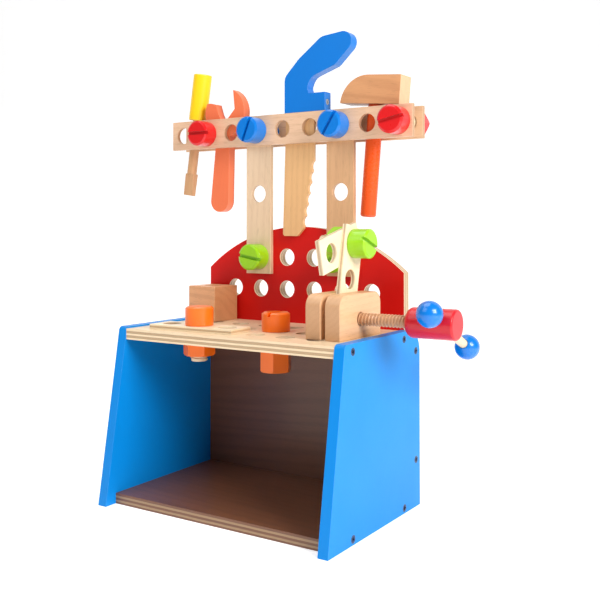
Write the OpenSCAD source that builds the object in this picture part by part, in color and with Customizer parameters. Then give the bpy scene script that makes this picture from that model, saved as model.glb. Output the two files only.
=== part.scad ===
// Wooden toy workbench with a tool rack, a vice, loose tools and toy bolts.
// Origin: on the floor under the middle of the backboard's front face.
// X runs to the right, Y to the back and Z up. Lengths are in millimetres.

/* [Stand] */
// Clear width between the side panels
stand_w = 213; // [200:1:230]
// Depth of the table top in front of the backboard
table_d = 118; // [112:1:130]
// Height of the table's surface above the floor
table_h = 150; // [120:1:200]
// Thickness of the table top
table_t = 9.5; // [8:0.5:12]
// Thickness of the side panels, the backboard and the back panel
board_t = 9; // [8:0.5:12]
// Distance that the panels' front edges run forward at the floor
panel_flare = 24; // [0:1:30]
// Radius of the backboard's arched top edge
arch_r = 162; // [150:1:200]
// Height of the arch's crown above the table
arch_top = 89.7; // [85:0.5:95]

/* [Holes and strips] */
// Spacing of the holes in the boards and strips
pitch = 30; // [30:0.5:32]
// Radius of the holes
hole_r = 8.1; // [8:0.1:8.5]
// Width of the strips and uprights
strip_w = 28.4; // [26:0.2:29]
// Thickness of the strips and uprights
strip_t = 4.2; // [4:0.1:5]
// Distance from a strip's last hole to its end
strip_end = 14; // [12:0.5:16]
// Height of the rack's holes above the table
rack_z = 181; // [175:1:190]

/* [Bolts] */
// Radius of a bolt's head
head_r = 12.25; // [11:0.25:13]
// Height of a bolt's head
head_h = 16.5; // [14:0.5:18]
// Radius of a bolt's shank
shank_r = 7.6; // [7:0.1:7.8]
// Length of a short bolt's shank
short_l = 30.5; // [29:0.5:34]
// Length of a long bolt's shank
long_l = 42; // [40:0.5:46]
// Width of a nut across its corners
nut_w = 28; // [26:0.5:29]
// Thickness of a nut
nut_t = 12; // [11:0.5:12]
// Thickness of the tall nut
tall_nut_t = 25; // [22:1:30]

/* [Vice] */
// Depth of the jaws, front to back
jaw_d = 68; // [60:1:70]
// Height of the jaws
jaw_h = 36; // [34:1:40]
// Thickness of each jaw
jaw_t = 13.8; // [12:0.2:14]
// Radius of the vice screw
screw_r = 5.25; // [5:0.05:5.4]
// Height of the vice screw above the table
screw_z = 15.2; // [14:0.1:15.5]
// Radius of the knob
knob_r = 12; // [11:0.5:13]
// Length of the knob
knob_l = 41; // [38:1:44]
// Radius of the balls on the sliding bar
ball_r = 10.3; // [9.5:0.1:11]

/* [Tools and blocks] */
// Side of the wooden block
block_a = 33; // [30:1:34]
// Lean of the planks' long strip from upright, in degrees
plank_lean = 11.8; // [10:0.1:12]
// Droop of the planks' short strip from level, in degrees
plank_droop = 14; // [0:1:20]
// Lean of the screwdriver, in degrees
driver_lean = 8.2; // [4:0.1:9]
// Lean of the wrench, in degrees
wrench_lean = 6.6; // [5:0.1:8]
// Lean of the hammer, in degrees
hammer_lean = 4.8; // [3:0.1:6]

/* [Hidden] */
$fn = 96;
// Names of all the sub-parts
// Name of the sub-part to draw, or all of them

beech = [0.86, 0.68, 0.47];
pale_ply = [0.95, 0.86, 0.68];
red = [0.84, 0.08, 0.06];
blue = [0.20, 0.62, 0.95];
royal_blue = [0.10, 0.45, 0.90];
green = [0.60, 0.85, 0.10];
orange = [0.98, 0.45, 0.08];
salmon = [0.95, 0.45, 0.28];
yellow = [0.98, 0.85, 0.10];
dark_metal = [0.10, 0.15, 0.25];

// Side panels
panel_x = stand_w / 2;
panel_lip = 1.5;
panel_back = board_t + 3;
panel_corner_r = 20;
panel_nose_r = 4;
// Boards
base_t = 9;
backboard_drop = 25;
arch_cz = table_h + arch_top - arch_r;
// Small wood screws that hold the panels
wood_screw_r = 1.6;
wood_screw_l = 24;
screw_head_r = 3.2;
screw_head_t = 2.2;
drill_gap = 0.05;
screw_spots = [
    [-105, table_h - table_t / 2],
    [-18, table_h - table_t / 2],
    [board_t / 2, table_h - 17],
    [board_t / 2, 40],
    [-105, base_t / 2],
    [-18, base_t / 2]
];
// Hole columns of the boards, counted from the middle
table_rows = [-92, -62, -32];
columns = [-2.5, -1.5, -0.5, 0.5, 1.5, 2.5];
low_row_z = table_h + rack_z - 5 * pitch;
high_row_z = low_row_z + pitch;
upright_x = 1.5 * pitch;
rack_x = 3.5 * pitch;
// Planes of the rack, front to back
front_strip_y = -2 * strip_t;
rear_strip_y = nut_t;
rack_top = table_h + rack_z + strip_w / 2;
rack_left = -4.5 * pitch;
// Bolts and nuts
head_edge = 1.6;
slot_w = 3.2;
slot_d = 3.4;
tip_edge = 1.8;
nut_edge = 1.4;
thread_gap = 0.05;
// Vice along X
clamp_x = 80;
fixed_jaw_x = clamp_x + strip_t;
jaw_front = -95;
jaw_corner_r = 10;
jaw_gap = 0.3;
screw_y = -61.5;
screw_tip_x = clamp_x - 7.7;
knob_x = fixed_jaw_x + jaw_t + 43;
knob_grip = 12;
bar_x = knob_x + 27;
bar_tilt = 24.3;
bar_r = 3.65;
ball_near_d = knob_r + ball_r + 0.2;
ball_far_d = 57;
screw_axis_z = table_h + screw_z;
// Planks in the vice
plank_foot = [screw_y + 1.2, screw_axis_z + 1.8];
plank_end = 16;
plank_pivot = plank_foot + 2 * pitch * [sin(plank_lean), cos(plank_lean)];
// Saw: its handle's front plane and thickness, and the barrel fastener's height
saw_y = front_strip_y + 0.6;
saw_t = 10.4;
pin_z = 8;
// Screwdriver shaft's radius and its length inside the handle
driver_r = 4.85;
driver_seat = 20;
// Hammer handle's end inside the head
tenon_r = 5;
tenon_l = 18;
// Sides of tapered outlines lie this far inside the tangents
side_inset = 0.04;
// Loose parts on the table
strip_yaw = 2;
block_pos = [-89, -18];
block_yaw = -2.7;
lift_gap = 0.2;

// Lays an (x, z) outline in a plate of thickness t whose front face is at y.
module plate_xz(y, t) {
    translate([0, y + t, 0])
        rotate([90, 0, 0])
            linear_extrude(t)
                children();
}

// Lays a (y, z) outline in a plate of thickness t whose left face is at x.
module plate_yz(x, t) {
    translate([x, 0, 0])
        rotate([90, 0, 90])
            linear_extrude(t)
                children();
}

// Flat strip with n holes, the first at the origin.
module strip_outline(n, end_l) {
    difference() {
        translate([-end_l, -strip_w / 2])
            square([(n - 1) * pitch + 2 * end_l, strip_w]);
        for (i = [0 : n - 1])
            translate([i * pitch, 0])
                circle(hole_r);
    }
}

// Two circles joined by straight sides that run just inside their outer tangents.
module taper(p1, r1, p2, r2) {
    way = p2 - p1;
    a = atan2(way[1], way[0]);
    b = acos((r1 - r2) / norm(way));
    e1 = r1 - side_inset;
    e2 = r2 - side_inset;
    polygon([
        p1 + e1 * [cos(a + b), sin(a + b)],
        p2 + e2 * [cos(a + b), sin(a + b)],
        p2 + e2 * [cos(a - b), sin(a - b)],
        p1 + e1 * [cos(a - b), sin(a - b)]
    ]);
    translate(p1)
        circle(r1);
    translate(p2)
        circle(r2);
}

// Bolt on +Z: its head stands on z = 0 and its shank reaches down.
module bolt(shank_l, slot_angle) {
    difference() {
        rotate_extrude()
            polygon([
                [0, -shank_l],
                [shank_r - tip_edge, -shank_l],
                [shank_r, tip_edge - shank_l],
                [shank_r, 0],
                [head_r, 0],
                [head_r, head_h - head_edge],
                [head_r - head_edge, head_h],
                [0, head_h]
            ]);
        rotate([0, 0, slot_angle])
            translate([-head_r - 1, -slot_w / 2, head_h - slot_d])
                cube([2 * head_r + 2, slot_w, slot_d + 1]);
    }
}

// Hexagonal nut under z = 0, with a smooth bore at the thread's crest.
module nut(t) {
    difference() {
        intersection() {
            translate([0, 0, -t])
                cylinder(h = t, d = nut_w, $fn = 6);
            rotate_extrude()
                polygon([
                    [0, -t],
                    [nut_w / 2 - nut_edge, -t],
                    [nut_w / 2, nut_edge - t],
                    [nut_w / 2, 0],
                    [0, 0]
                ]);
        }
        translate([0, 0, -t - 1])
            cylinder(h = t + 2, r = shank_r + thread_gap);
    }
}

// Turns a +Z bolt or nut to face the front at (x, y, z).
module facing_front(x, y, z) {
    translate([x, y, z])
        rotate([90, 0, 0])
            children();
}

// Screws that hold the panels, widened by gap for their drilled holes.
module wood_screws(side, gap) {
    for (spot = screw_spots)
        translate([side * (panel_x + board_t), spot[0], spot[1]])
            rotate([0, -90 * side, 0])
                rotate_extrude($fn = 32)
                    polygon([
                        [0, 0],
                        [screw_head_r + gap, 0],
                        [wood_screw_r + gap, screw_head_t + gap],
                        [wood_screw_r + gap, wood_screw_l + gap],
                        [0, wood_screw_l + gap]
                    ]);
}

module drilled_for_screws() {
    difference() {
        children();
        wood_screws(-1, drill_gap);
        wood_screws(1, drill_gap);
    }
}

// Side panel's outline in (y, z).
module panel_outline() {
    top = table_h + panel_lip;
    polygon([
        [-table_d - panel_flare, 0],
        [panel_back, 0],
        [panel_back, top - panel_corner_r],
        [panel_back - panel_corner_r, top],
        [-table_d + panel_nose_r, top],
        [-table_d, top - panel_nose_r]
    ]);
    translate([panel_back - panel_corner_r, top - panel_corner_r])
        circle(panel_corner_r);
    translate([-table_d + panel_nose_r, top - panel_nose_r])
        circle(panel_nose_r);
}

module left_panel() {
    color(blue)
        drilled_for_screws()
            plate_yz(-panel_x - board_t, board_t)
                panel_outline();
}

module right_panel() {
    color(blue)
        drilled_for_screws()
            plate_yz(panel_x, board_t)
                panel_outline();
}

module table_top() {
    color(pale_ply)
        drilled_for_screws()
            difference() {
                translate([-panel_x, -table_d, table_h - table_t])
                    cube([stand_w, table_d, table_t]);
                for (column = columns, y = table_rows)
                    translate([column * pitch, y, table_h - table_t - 1])
                        cylinder(h = table_t + 2, r = hole_r);
            }
}

module backboard() {
    color(red)
        drilled_for_screws()
            plate_xz(0, board_t)
                difference() {
                    intersection() {
                        translate([-panel_x, table_h - backboard_drop])
                            square([stand_w, backboard_drop + arch_top]);
                        translate([0, arch_cz])
                            circle(arch_r, $fn = 180);
                    }
                    for (column = columns)
                        translate([column * pitch, low_row_z])
                            circle(hole_r);
                    for (column = [-1.5, -0.5, 0.5, 1.5])
                        translate([column * pitch, high_row_z])
                            circle(hole_r);
                }
}

module back_panel() {
    color(beech)
        drilled_for_screws()
            translate([-panel_x, 0, base_t])
                cube([stand_w, board_t, table_h - backboard_drop - base_t]);
}

module base_board() {
    color(beech)
        drilled_for_screws()
            translate([-panel_x, -table_d - panel_flare / 2, 0])
                cube([stand_w, table_d + panel_flare / 2 + board_t, base_t]);
}

module panel_screws() {
    color(dark_metal) {
        wood_screws(-1, 0);
        wood_screws(1, 0);
    }
}

// Upright with three holes, from the upper row of the backboard to the rack.
module upright(x) {
    upright_end = 16;
    color(beech)
        plate_xz(-strip_t, strip_t)
            difference() {
                translate([x - strip_w / 2, high_row_z - upright_end])
                    square([strip_w, 4 * pitch + upright_end + strip_w / 2]);
                for (i = [0 : 2])
                    translate([x, high_row_z + 2 * i * pitch])
                        circle(hole_r);
            }
}

module left_upright() {
    upright(-upright_x);
}

module right_upright() {
    upright(upright_x);
}

module rack_strip(y) {
    color(beech)
        plate_xz(y, strip_t)
            translate([rack_left, table_h + rack_z])
                strip_outline(9, strip_end);
}

module front_strip() {
    rack_strip(front_strip_y);
}

module rear_strip() {
    rack_strip(rear_strip_y);
}

// A rack bolt passes through both strips.
module rack_bolt(x, shank_l, slot_angle) {
    facing_front(x, front_strip_y, table_h + rack_z)
        bolt(shank_l, slot_angle);
}

// A rack nut's face is at y.
module rack_nut(x, y) {
    facing_front(x, y, table_h + rack_z)
        nut(nut_t);
}

module red_bolt_left() {
    color(red)
        rack_bolt(-rack_x, long_l, 0);
}

module red_nut_left() {
    color(red)
        rack_nut(-rack_x, rear_strip_y + strip_t);
}

module red_bolt_right() {
    color(red)
        rack_bolt(rack_x, long_l, 11.5);
}

module red_nut_right() {
    color(red)
        rack_nut(rack_x, rear_strip_y + strip_t);
}

module blue_bolt_left() {
    color(royal_blue)
        rack_bolt(-upright_x, short_l, 68);
}

module blue_nut_left() {
    color(royal_blue)
        rack_nut(-upright_x, 0);
}

module blue_bolt_right() {
    color(royal_blue)
        rack_bolt(upright_x, short_l, 58);
}

module blue_nut_right() {
    color(royal_blue)
        rack_nut(upright_x, 0);
}

module green_bolt_left() {
    color(green)
        facing_front(-upright_x, -strip_t, high_row_z)
            bolt(short_l, -10);
}

module green_nut_left() {
    color(green)
        facing_front(-upright_x, board_t, high_row_z)
            nut(nut_t);
}

module green_bolt_right() {
    color(green)
        facing_front(upright_x, -strip_t, high_row_z)
            bolt(short_l, 35);
}

module green_nut_right() {
    color(green)
        facing_front(upright_x, board_t, high_row_z)
            nut(nut_t);
}

module orange_bolt_left() {
    color(orange)
        translate([-1.5 * pitch, table_rows[0], table_h + strip_t])
            bolt(short_l, 30);
}

module orange_nut() {
    color(orange)
        translate([-1.5 * pitch, table_rows[0], table_h - table_t])
            rotate([0, 0, 27])
                nut(nut_t);
}

module orange_bolt_middle() {
    color(orange)
        translate([0.5 * pitch, table_rows[1], table_h])
            bolt(short_l, 95);
}

module orange_tall_nut() {
    color(orange)
        translate([0.5 * pitch, table_rows[1], table_h - table_t])
            rotate([0, 0, -5])
                nut(tall_nut_t);
}

module table_strip() {
    color(pale_ply)
        translate([-1.5 * pitch, table_rows[0], table_h])
            rotate([0, 0, strip_yaw])
                linear_extrude(strip_t)
                    translate([-pitch, 0])
                        strip_outline(3, strip_end);
}

module block() {
    color(beech)
        translate([block_pos[0], block_pos[1], table_h])
            rotate([0, 0, block_yaw])
                difference() {
                    translate([-block_a / 2, -block_a / 2, 0])
                        cube(block_a);
                    translate([0, 0, -1])
                        cylinder(h = block_a + 2, r = hole_r);
                }
}

// Strip clamped upright in the vice, with the vice screw through its lowest hole.
module plank_long() {
    color(pale_ply)
        plate_yz(clamp_x + lift_gap / 2, strip_t - lift_gap)
            translate(plank_foot)
                rotate(90 - plank_lean)
                    strip_outline(3, 14);
}

module plank_short() {
    color(pale_ply)
        plate_yz(clamp_x - strip_t, strip_t)
            translate(plank_pivot)
                rotate(180 + plank_droop)
                    strip_outline(2, plank_end);
}

module plank_bolt() {
    color(green)
        translate([fixed_jaw_x, plank_pivot[0], plank_pivot[1]])
            rotate([90, 0, 90])
                bolt(short_l, -22);
}

module plank_nut() {
    color(green)
        translate([clamp_x - strip_t, plank_pivot[0], plank_pivot[1]])
            rotate([90, 0, 90])
                rotate([0, 0, 30])
                    nut(nut_t);
}

// Jaw's outline in (y, z), with its foot at z.
module jaw_outline(z) {
    top = table_h + jaw_h;
    translate([jaw_front, z])
        square([jaw_d, top - jaw_corner_r - z]);
    translate([jaw_front + jaw_corner_r, z])
        square([jaw_d - 2 * jaw_corner_r, top - z]);
    for (y = [jaw_front + jaw_corner_r, jaw_front + jaw_d - jaw_corner_r])
        translate([y, top - jaw_corner_r])
            circle(jaw_corner_r);
}

// Round bore on the vice screw's axis, from x over length l.
module screw_bore(x, l) {
    translate([x, screw_y, screw_axis_z])
        rotate([0, 90, 0])
            cylinder(h = l, r = screw_r + drill_gap);
}

module fixed_jaw() {
    color(beech)
        difference() {
            plate_yz(fixed_jaw_x, jaw_t)
                jaw_outline(table_h);
            screw_bore(fixed_jaw_x - 1, jaw_t + 2);
        }
}

module moving_jaw() {
    color(beech)
        difference() {
            plate_yz(clamp_x - jaw_t, jaw_t)
                jaw_outline(table_h + jaw_gap);
            screw_bore(screw_tip_x - lift_gap, clamp_x - screw_tip_x + 1);
        }
}

module vice_screw() {
    color(beech)
        translate([screw_tip_x, screw_y, screw_axis_z])
            rotate([0, 90, 0])
                cylinder(h = knob_x + knob_grip - screw_tip_x, r = screw_r);
}

module vice_knob() {
    nose = 5;
    rim = 1.8;
    color(red)
        translate([knob_x, screw_y, screw_axis_z])
            rotate([0, 90, 0])
                difference() {
                    rotate_extrude() {
                        polygon([
                            [0, 0],
                            [knob_r - nose, 0],
                            [knob_r, nose],
                            [knob_r, knob_l - rim],
                            [knob_r - rim, knob_l],
                            [0, knob_l]
                        ]);
                        intersection() {
                            translate([knob_r - nose, nose])
                                circle(nose);
                            square([knob_r, knob_l]);
                        }
                        intersection() {
                            translate([knob_r - rim, knob_l - rim])
                                circle(rim);
                            square([knob_r, knob_l]);
                        }
                    }
                    translate([0, 0, -1])
                        cylinder(h = knob_grip + 1.2, r = screw_r + drill_gap);
                    translate([0, 0, bar_x - knob_x])
                        rotate([0, -90, 0])
                            rotate([-90 - bar_tilt, 0, 0])
                                cylinder(h = 4 * knob_r, r = bar_r + 2 * drill_gap, center = true);
                }
}

// Frame of the sliding bar: +Z runs along the bar to its low rear end.
module on_bar() {
    translate([bar_x, screw_y, screw_axis_z])
        rotate([-90 - bar_tilt, 0, 0])
            children();
}

module sliding_bar() {
    seat = 6;
    color(beech)
        on_bar()
            translate([0, 0, -ball_near_d - seat])
                cylinder(h = ball_near_d + ball_far_d + 2 * seat, r = bar_r);
}

// Ball at d along the bar, bored towards the knob.
module ball(d, side) {
    seat = 6.2;
    color(royal_blue)
        on_bar()
            translate([0, 0, d])
                difference() {
                    sphere(ball_r);
                    translate([0, 0, side > 0 ? -seat : -ball_r - 1])
                        cylinder(h = ball_r + seat + 1, r = bar_r + drill_gap);
                }
}

module ball_front() {
    ball(-ball_near_d, 1);
}

module ball_rear() {
    ball(ball_far_d, -1);
}

// Frame of a tool that hangs in the rack, leaning to the right.
module leaning(x, y, lean) {
    translate([x, y, rack_top])
        rotate([0, lean, 0])
            children();
}

// Frame of the screwdriver: z = 0 under its handle.
module screwdriver_frame() {
    leaning(-127, 3.9, driver_lean)
        translate([0, 0, 1.6])
            children();
}

module screwdriver_handle() {
    grip_r = 9.2;
    grip_l = 47;
    soft = 0.8;
    color(yellow)
        screwdriver_frame()
            difference() {
                rotate_extrude()
                    polygon([
                        [0, 0],
                        [grip_r - soft, 0],
                        [grip_r, soft],
                        [grip_r, grip_l - soft],
                        [grip_r - soft, grip_l],
                        [0, grip_l]
                    ]);
                translate([0, 0, -1])
                    cylinder(h = driver_seat + 1.2, r = driver_r + 0.05);
            }
}

module screwdriver_shaft() {
    shaft_r = driver_r;
    shaft_l = 76;
    blade_l = 22;
    tip_w = 12;
    tip_t = 4;
    color(beech)
        screwdriver_frame() {
            translate([0, 0, blade_l - shaft_l])
                cylinder(h = shaft_l - blade_l + driver_seat, r = shaft_r);
            intersection() {
                rotate([90, 0, 0])
                    linear_extrude(2 * shaft_r, center = true)
                        polygon([
                            [-shaft_r, blade_l - shaft_l],
                            [-tip_w / 2, -shaft_l],
                            [tip_w / 2, -shaft_l],
                            [shaft_r, blade_l - shaft_l]
                        ]);
                rotate([90, 0, 90])
                    linear_extrude(tip_w, center = true)
                        polygon([
                            [-shaft_r * 0.8, blade_l - shaft_l],
                            [-tip_t / 2, -shaft_l],
                            [tip_t / 2, -shaft_l],
                            [shaft_r * 0.8, blade_l - shaft_l]
                        ]);
            }
        }
}

// Open-ended wrench. Its head rests on the left red bolt's shank.
module wrench() {
    wrench_y = -3.8;
    wrench_t = 9.4;
    cut = 1;
    hole_z = table_h + rack_z;
    head_c = [-86.5, hole_z + 20.7];
    head_rad = 24;
    neck_c = [-87.6, hole_z + 10];
    neck_r = 7.6;
    foot_c = [-92.5, table_h + 115];
    foot_r = 10.8;
    bolt_c = [-rack_x, hole_z];
    notch_r = shank_r + 0.5;
    notch_l = 40;
    color(salmon)
        difference() {
            union() {
                plate_xz(wrench_y, wrench_t)
                    taper(foot_c, foot_r, neck_c, neck_r);
                plate_xz(wrench_y, wrench_t)
                    translate(head_c)
                        circle(head_rad);
            }
            // Mouth, open at the top
            plate_xz(wrench_y - cut, wrench_t + 2 * cut)
                translate([0, hole_z])
                    polygon([
                        [-88, 8],
                        [-81.8, 15.7],
                        [-74.3, 23.7],
                        [-76.6, 46],
                        [-113, 46],
                        [-113, 31],
                        [-104, 31],
                        [-97.3, 29.5],
                        [-94.2, 20]
                    ]);
            // Notch for the bolt's shank, open downwards
            plate_xz(wrench_y - cut, wrench_t + 2 * cut)
                taper(bolt_c, notch_r, bolt_c - notch_l * [sin(wrench_lean), cos(wrench_lean)], notch_r);
        }
}

// Saw handle: an open grip over a low foot that rests on the front strip.
module saw_handle() {
    foot_z = rack_top + lift_gap;
    left_x = -12.8;
    foot_l = 44.1;
    foot_h = 16.8;
    post = [22, 29];
    post_c = [-1.8, 29];
    post_r = 11;
    web_z = 10;
    web = [17, 22];
    wrist = [10.3, 40.8];
    wrist_r = 11.3;
    palm = [33.1, 52.9];
    palm_r = 15.2;
    tip = [49.6, 60.4];
    tip_r = 9.4;
    throat = [17.5, 22];
    throat_r = 5;
    hollow = [25, 21.8];
    hollow_r = 12;
    mouth = [56, 28.2];
    mouth_r = 16;
    slit = [34, 3.8, 15.6];
    slit_y = -4.05;
    barrel_r = 2.9;
    barrel_l = 9;
    cut = 1;
    color(royal_blue)
        difference() {
            translate([0, 0, foot_z])
                union() {
                    difference() {
                        union() {
                            plate_xz(saw_y, saw_t)
                                translate([left_x, 0])
                                    square(post);
                            plate_xz(saw_y, saw_t)
                                translate([0, web_z])
                                    square(web);
                            plate_xz(saw_y, saw_t)
                                taper(post_c, post_r, wrist, wrist_r);
                            plate_xz(saw_y, saw_t)
                                taper(wrist, wrist_r, palm, palm_r);
                            plate_xz(saw_y, saw_t)
                                taper(palm, palm_r, tip, tip_r);
                        }
                        // Open throat under the grip
                        plate_xz(saw_y - cut, saw_t + 2 * cut)
                            translate(throat)
                                circle(throat_r);
                        plate_xz(saw_y - cut, saw_t + 2 * cut)
                            taper(hollow, hollow_r, mouth, mouth_r);
                    }
                    plate_xz(saw_y, saw_t)
                        translate([left_x, 0])
                            square([foot_l, foot_h]);
                }
            // Slit for the blade
            translate([left_x - 3 * cut, slit_y, foot_z - cut])
                cube(slit);
            // Barrel hole in the foot's end
            translate([left_x + foot_l - barrel_l, saw_y + saw_t / 2, foot_z + pin_z])
                rotate([0, 90, 0])
                    cylinder(h = 2 * barrel_l, r = barrel_r, $fn = 48);
        }
}

// Barrel fastener in the end of the saw handle's foot.
module saw_pin() {
    pin_end = 31;
    pin_l = 8;
    pin_r = 2.8;
    hex_r = 1.5;
    hex_l = 2;
    color(dark_metal)
        translate([pin_end - pin_l, saw_y + saw_t / 2, rack_top + lift_gap + pin_z])
            rotate([0, 90, 0])
                difference() {
                    cylinder(h = pin_l, r = pin_r, $fn = 48);
                    translate([0, 0, pin_l - hex_l])
                        cylinder(h = hex_l + 1, r = hex_r, $fn = 6);
                }
}

module saw_blade() {
    blade_top = rack_top + 14;
    blade_foot = table_h + 81;
    tooth_r = 6.4;
    tooth_n = 6;
    color(beech)
        plate_xz(-3.9, 3.5)
            difference() {
                polygon([
                    [-13, blade_top],
                    [-14.4, rack_top - 30],
                    [-17, blade_foot + 2],
                    [-15.5, blade_foot],
                    [-1, blade_foot],
                    [5.8, blade_foot + 7],
                    [17, rack_top - 45],
                    [17.5, blade_top]
                ]);
                for (i = [0 : tooth_n - 1])
                    translate([11.6 + 1.84 * i, blade_foot + 13 + 10.2 * i])
                        circle(tooth_r);
            }
}

// Frame of the hammer: z = 0 under its head.
module hammer_frame() {
    leaning(77.3, 4, hammer_lean)
        translate([0, 0, 2.9])
            children();
}

module hammer_head() {
    head_l = 59;
    head_t = 25.5;
    head_w = 20;
    nose_r = 27;
    left_x = -31.5;
    color(beech)
        hammer_frame()
            difference() {
                plate_xz(-head_w / 2, head_w)
                    intersection() {
                        translate([left_x, 0])
                            square([head_l, head_t]);
                        union() {
                            translate([left_x + nose_r, head_t - nose_r])
                                circle(nose_r);
                            translate([left_x + nose_r, 0])
                                square([head_l, head_t]);
                        }
                    }
                translate([0, 0, -1])
                    cylinder(h = tenon_l + 1.2, r = tenon_r + 0.05);
            }
}

module hammer_handle() {
    grip_r = 7;
    grip_l = 100;
    soft = 1.3;
    color(orange)
        hammer_frame()
            rotate_extrude()
                polygon([
                    [0, -grip_l],
                    [grip_r - soft, -grip_l],
                    [grip_r, soft - grip_l],
                    [grip_r, -lift_gap],
                    [tenon_r, -lift_gap],
                    [tenon_r, tenon_l],
                    [0, tenon_l]
                ]);
}

left_panel();
right_panel();
table_top();
backboard();
back_panel();
base_board();
panel_screws();
left_upright();
right_upright();
front_strip();
rear_strip();
red_bolt_left();
red_nut_left();
red_bolt_right();
red_nut_right();
blue_bolt_left();
blue_nut_left();
blue_bolt_right();
blue_nut_right();
green_bolt_left();
green_nut_left();
green_bolt_right();
green_nut_right();
orange_bolt_left();
orange_nut();
orange_bolt_middle();
orange_tall_nut();
plank_bolt();
plank_nut();
table_strip();
plank_long();
plank_short();
block();
fixed_jaw();
moving_jaw();
vice_screw();
vice_knob();
sliding_bar();
ball_front();
ball_rear();
screwdriver_handle();
screwdriver_shaft();
wrench();
saw_handle();
saw_blade();
saw_pin();
hammer_head();
hammer_handle();
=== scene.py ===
"""Looks of a wooden toy workbench: painted boards, toy bolts, a screw vice and loose tools.

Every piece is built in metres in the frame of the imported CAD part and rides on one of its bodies.
"""

import logging
import math
from collections.abc import Iterable, Sequence
from dataclasses import dataclass, field
from enum import Enum

import bmesh
import bpy
from mathutils import Matrix, Vector


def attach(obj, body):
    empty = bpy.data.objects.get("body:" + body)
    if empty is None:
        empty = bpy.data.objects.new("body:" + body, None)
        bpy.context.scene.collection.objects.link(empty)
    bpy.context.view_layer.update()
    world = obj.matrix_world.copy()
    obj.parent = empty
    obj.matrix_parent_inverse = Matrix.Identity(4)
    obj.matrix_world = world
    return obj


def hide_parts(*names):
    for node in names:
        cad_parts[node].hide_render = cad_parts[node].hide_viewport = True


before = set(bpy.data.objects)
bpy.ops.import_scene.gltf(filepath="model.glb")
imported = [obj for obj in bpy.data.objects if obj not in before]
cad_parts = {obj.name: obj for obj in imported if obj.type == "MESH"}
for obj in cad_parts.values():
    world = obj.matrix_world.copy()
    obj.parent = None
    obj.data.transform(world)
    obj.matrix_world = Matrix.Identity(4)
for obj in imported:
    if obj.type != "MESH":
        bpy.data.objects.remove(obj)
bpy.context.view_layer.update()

MM = 0.001
EDGE = "edge"
END = "end_grain"

Triple = tuple[float, float, float]
log = logging.getLogger("workbench")


class Axis(Enum):
    """Directions that grain and plies run in."""

    X = (1.0, 0.0, 0.0)
    Y = (0.0, 1.0, 0.0)
    Z = (0.0, 0.0, 1.0)

    def leaning(self, degrees: float) -> Triple:
        """This direction turned about Y.

        Args:
            degrees: Turn about Y, as a tool leans in the rack.

        Returns:
            The turned unit vector.
        """
        turned = Matrix.Rotation(math.radians(degrees), 3, "Y") @ Vector(self.value)
        return tuple(turned)


# Node trees ---------------------------------------------------------------------------------------


class Socket:
    """An output of a node tree that takes part in arithmetic."""

    def __init__(self, tree: "NodeTree", out: bpy.types.NodeSocket) -> None:
        """Wraps an output.

        Args:
            tree: The tree that holds it.
            out: The node's output.
        """
        self.tree = tree
        self.out = out

    def _math(self, operation: str, *values: "Socket | float", clamp: bool = False) -> "Socket":
        """Adds a Math node.

        Args:
            operation: Name of its operation.
            values: Its inputs in order.
            clamp: Whether the result is held between 0 and 1.

        Returns:
            The result.
        """
        inputs = dict(enumerate(values))
        return self.tree.node("ShaderNodeMath", inputs=inputs, operation=operation, use_clamp=clamp)

    def __add__(self, other: "Socket | float") -> "Socket":
        """Sum of two values."""
        return self._math("ADD", self, other)

    def __radd__(self, other: float) -> "Socket":
        """Sum of two values."""
        return self._math("ADD", other, self)

    def __sub__(self, other: "Socket | float") -> "Socket":
        """Difference of two values."""
        return self._math("SUBTRACT", self, other)

    def __rsub__(self, other: float) -> "Socket":
        """Difference of two values."""
        return self._math("SUBTRACT", other, self)

    def __mul__(self, other: "Socket | float") -> "Socket":
        """Product of two values."""
        return self._math("MULTIPLY", self, other)

    def __rmul__(self, other: float) -> "Socket":
        """Product of two values."""
        return self._math("MULTIPLY", other, self)

    def __truediv__(self, other: "Socket | float") -> "Socket":
        """Quotient of two values."""
        return self._math("DIVIDE", self, other)

    def __mod__(self, other: float) -> "Socket":
        """Remainder of a division."""
        return self._math("FLOORED_MODULO", self, other)

    def sin(self) -> "Socket":
        """Sine of the value."""
        return self._math("SINE", self)

    def floor(self) -> "Socket":
        """Whole part of the value."""
        return self._math("FLOOR", self)

    def fraction(self) -> "Socket":
        """Part after the whole number."""
        return self._math("FRACT", self)

    def clamped(self) -> "Socket":
        """The value held between 0 and 1."""
        return self._math("ADD", self, 0.0, clamp=True)

    def step(self, low: float, high: float) -> "Socket":
        """Smooth rise from 0 at low to 1 at high.

        Args:
            low: Value where the rise starts.
            high: Value where it ends.

        Returns:
            The risen value.
        """
        return self.tree.node(
            "ShaderNodeMapRange",
            inputs={0: self, 1: low, 2: high, 3: 0.0, 4: 1.0},
            interpolation_type="SMOOTHSTEP",
        )

    def vector(self, operation: str, other: "Socket | Triple | float", out: int = 0) -> "Socket":
        """Vector arithmetic.

        Args:
            operation: Name of the Vector Math operation.
            other: The second vector, or the factor of a SCALE.
            out: Output to read, 1 for operations that give a number.

        Returns:
            The result.
        """
        second = 3 if operation == "SCALE" else 1
        return self.tree.node(
            "ShaderNodeVectorMath", out, {0: self, second: other}, operation=operation
        )


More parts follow.
